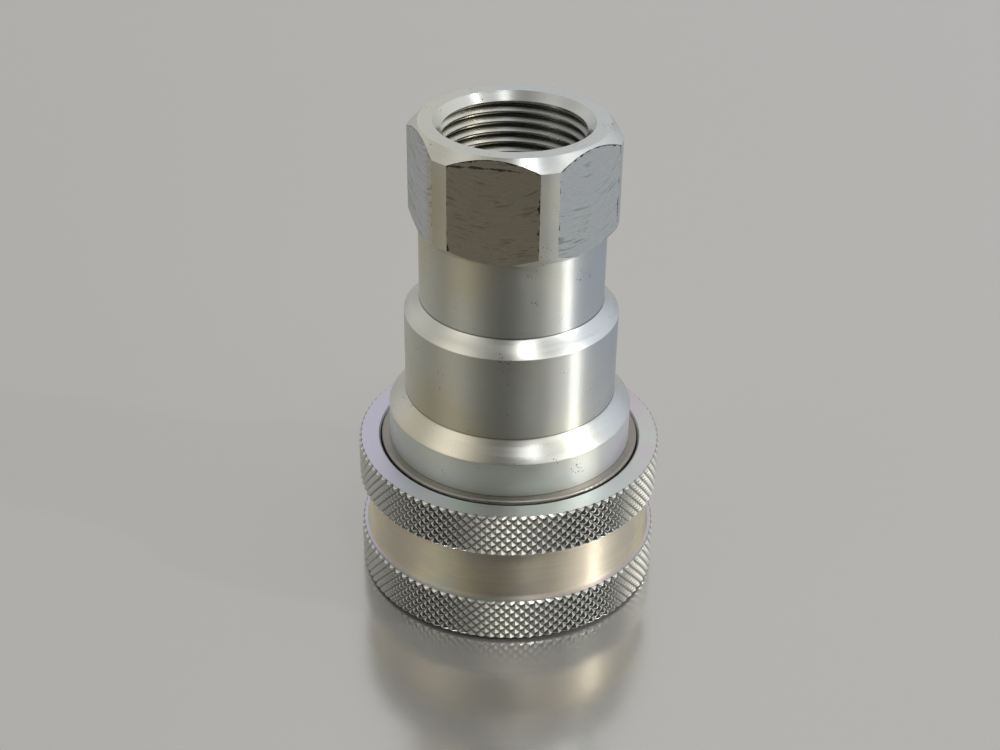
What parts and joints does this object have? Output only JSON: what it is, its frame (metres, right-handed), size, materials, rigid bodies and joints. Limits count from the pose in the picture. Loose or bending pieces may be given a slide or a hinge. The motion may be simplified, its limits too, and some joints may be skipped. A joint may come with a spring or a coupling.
{
  "type": "female quick coupler",
  "caption": "Zinc-plated steel female quick coupler with a hexagon pipe-thread port, stepped barrel, knurled sliding sleeve with ball lock, and a sprung poppet valve in its socket.",
  "frame": {"origin": "centre of the nose face that the coupler stands on", "axes": "+Z along the coupler's axis from the socket to the port, -Y towards the front hexagon flat"},
  "size_m": [0.054, 0.054, 0.0858],
  "materials": {
    "zinc_plated_body": "turned steel, zinc plated with a clear passivate",
    "zinc_plated_sleeve": "turned and knurled steel, zinc plated with a clear passivate",
    "spring_steel": "drawn spring steel, oiled",
    "ball_steel": "polished hardened steel",
    "valve_steel": "fine turned steel, zinc plated",
    "nitrile_rubber": "smooth black nitrile rubber",
    "ptfe": "white skived PTFE"
  },
  "bodies": {
    "body": {"coupler_body": "zinc_plated_body", "spring_seat_ring": "valve_steel", "sleeve_retaining_ring": "spring_steel", "socket_seal": "nitrile_rubber", "socket_backup_ring": "ptfe", "valve_spring": "spring_steel", "valve_guide": "valve_steel", "guide_retaining_ring": "spring_steel"},
    "sleeve_spring": {"sleeve_spring": "spring_steel"},
    "sleeve": {"locking_sleeve": "zinc_plated_sleeve"},
    "poppet": {"valve_poppet": "valve_steel", "poppet_seal": "nitrile_rubber"},
    "ball_1": {"lock_ball_1": "ball_steel"},
    "ball_2": {"lock_ball_2": "ball_steel"},
    "ball_3": {"lock_ball_3": "ball_steel"},
    "ball_4": {"lock_ball_4": "ball_steel"},
    "ball_5": {"lock_ball_5": "ball_steel"},
    "ball_6": {"lock_ball_6": "ball_steel"},
    "ball_7": {"lock_ball_7": "ball_steel"},
    "ball_8": {"lock_ball_8": "ball_steel"}
  },
  "joints": [
    {"name": "sleeve_spin", "type": "hinge", "parent": "body", "child": "sleeve_spring", "pos_m": [0, 0, 0.0183], "axis": [0, 0, 1], "continuous": true},
    {"name": "sleeve_slide", "type": "slide", "parent": "sleeve_spring", "child": "sleeve", "axis": [0, 0, 1], "range_m": [0, 0.0065], "stiffness_N_per_m": 3000, "springref_m": -0.012, "deforming": ["sleeve_spring"]},
    {"name": "poppet_slide", "type": "slide", "parent": "body", "child": "poppet", "axis": [0, 0, 1], "range_m": [0, 0.006], "stiffness_N_per_m": 900, "springref_m": -0.014, "deforming": ["valve_spring"]},
    {"name": "ball_1_travel", "type": "slide", "parent": "body", "child": "ball_1", "axis": [1, 0, 0], "range_m": [0, 0.00224]},
    {"name": "ball_2_travel", "type": "slide", "parent": "body", "child": "ball_2", "axis": [0.7071, 0.7071, 0], "range_m": [0, 0.00224]},
    {"name": "ball_3_travel", "type": "slide", "parent": "body", "child": "ball_3", "axis": [0, 1, 0], "range_m": [0, 0.00224]},
    {"name": "ball_4_travel", "type": "slide", "parent": "body", "child": "ball_4", "axis": [-0.7071, 0.7071, 0], "range_m": [0, 0.00224]},
    {"name": "ball_5_travel", "type": "slide", "parent": "body", "child": "ball_5", "axis": [-1, 0, 0], "range_m": [0, 0.00224]},
    {"name": "ball_6_travel", "type": "slide", "parent": "body", "child": "ball_6", "axis": [-0.7071, -0.7071, 0], "range_m": [0, 0.00224]},
    {"name": "ball_7_travel", "type": "slide", "parent": "body", "child": "ball_7", "axis": [0, -1, 0], "range_m": [0, 0.00224]},
    {"name": "ball_8_travel", "type": "slide", "parent": "body", "child": "ball_8", "axis": [0.7071, -0.7071, 0], "range_m": [0, 0.00224]}
  ],
  "couplings": [
    {"joint": "ball_1_travel", "follows": "sleeve_slide", "ratio": 0.34231},
    {"joint": "ball_2_travel", "follows": "sleeve_slide", "ratio": 0.34231},
    {"joint": "ball_3_travel", "follows": "sleeve_slide", "ratio": 0.34231},
    {"joint": "ball_4_travel", "follows": "sleeve_slide", "ratio": 0.34231},
    {"joint": "ball_5_travel", "follows": "sleeve_slide", "ratio": 0.34231},
    {"joint": "ball_6_travel", "follows": "sleeve_slide", "ratio": 0.34231},
    {"joint": "ball_7_travel", "follows": "sleeve_slide", "ratio": 0.34231},
    {"joint": "ball_8_travel", "follows": "sleeve_slide", "ratio": 0.34231}
  ]
}
